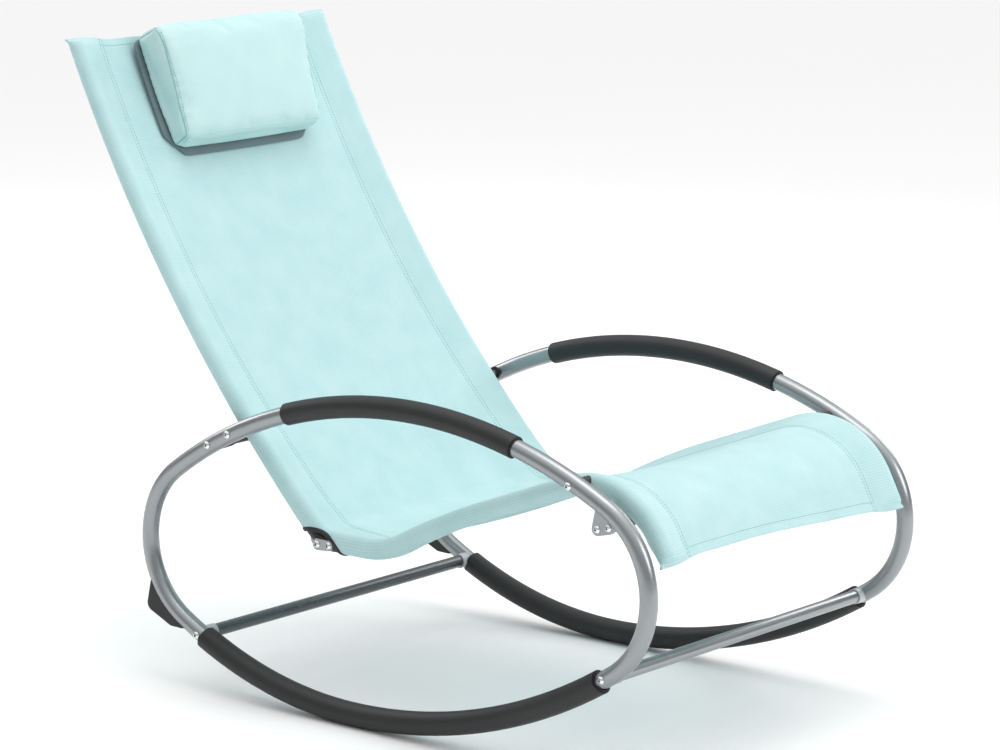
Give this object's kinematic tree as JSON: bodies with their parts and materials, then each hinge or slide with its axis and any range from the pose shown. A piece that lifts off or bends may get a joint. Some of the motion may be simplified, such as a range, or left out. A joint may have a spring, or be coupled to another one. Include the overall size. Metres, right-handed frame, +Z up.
{
  "type": "rocking chaise lounge",
  "caption": "Outdoor rocking lounger with two oval side rings, a stretched mesh sling on a bent seat frame and a hooked-on head pillow.",
  "frame": {"origin": "on the floor, at the middle of the chair's bounding box", "axes": "+Z up, +X to the sitter's left, -Y the way the sitter faces, from the head end to the foot end"},
  "size_m": [0.634, 1.1278, 0.9458],
  "materials": {
    "silver_paint": "satin silver-grey powder coat",
    "black_paint": "satin black powder coat",
    "sleeve_rubber": "matte black, fine grain",
    "collar_plastic": "matte silver-grey",
    "black_plastic": "matte black",
    "bolt_chrome": "bright domed heads",
    "nut_steel": "bright zinc",
    "sling_mesh": "pale aqua woven outdoor mesh",
    "pillow_mesh": "pale aqua woven outdoor mesh",
    "pillow_backing": "slate-grey mesh"
  },
  "bodies": {
    "chair": {"back_bar": "black_paint", "back_bar_bolts": "bolt_chrome", "back_bar_plates": "black_paint", "back_rail_bolts": "bolt_chrome", "crossbar_bolts": "bolt_chrome", "crossbar_collars": "collar_plastic", "crossbar_end_nuts": "nut_steel", "front_crossbar": "silver_paint", "head_stretcher": "black_paint", "hex_nuts": "nut_steel", "hip_bolts": "bolt_chrome", "hip_hangers": "silver_paint", "hip_plates": "silver_paint", "hip_stretcher": "black_paint", "knee_bar": "black_paint", "knee_bar_bolts": "bolt_chrome", "knee_bar_end_nuts": "nut_steel", "knee_bar_flanges": "silver_paint", "left_arm_sleeve": "sleeve_rubber", "left_back_rail": "black_paint", "left_hoop_tube": "silver_paint", "left_rocker_sleeve": "sleeve_rubber", "left_rocker_tube": "black_paint", "left_seat_rail": "black_paint", "left_stop_block": "sleeve_rubber", "rail_foot_plugs": "black_plastic", "rail_head_plugs": "black_plastic", "rear_crossbar": "silver_paint", "right_arm_sleeve": "sleeve_rubber", "right_back_rail": "black_paint", "right_hoop_tube": "silver_paint", "right_rocker_sleeve": "sleeve_rubber", "right_rocker_tube": "black_paint", "right_seat_rail": "black_paint", "right_stop_block": "sleeve_rubber", "ring_gussets": "silver_paint", "rivet_nuts": "nut_steel", "seat_bolts": "bolt_chrome", "seat_spacers": "black_plastic", "sling": "sling_mesh"},
    "pillow": {"pillow_cushion": "pillow_mesh", "pillow_lining": "pillow_backing", "pillow_strap": "pillow_backing"}
  },
  "joints": [
    {"name": "pillow_lift", "type": "slide", "parent": "chair", "child": "pillow", "axis": [0, 0.4293, 0.9032], "range_m": [0, 0.3]}
  ]
}
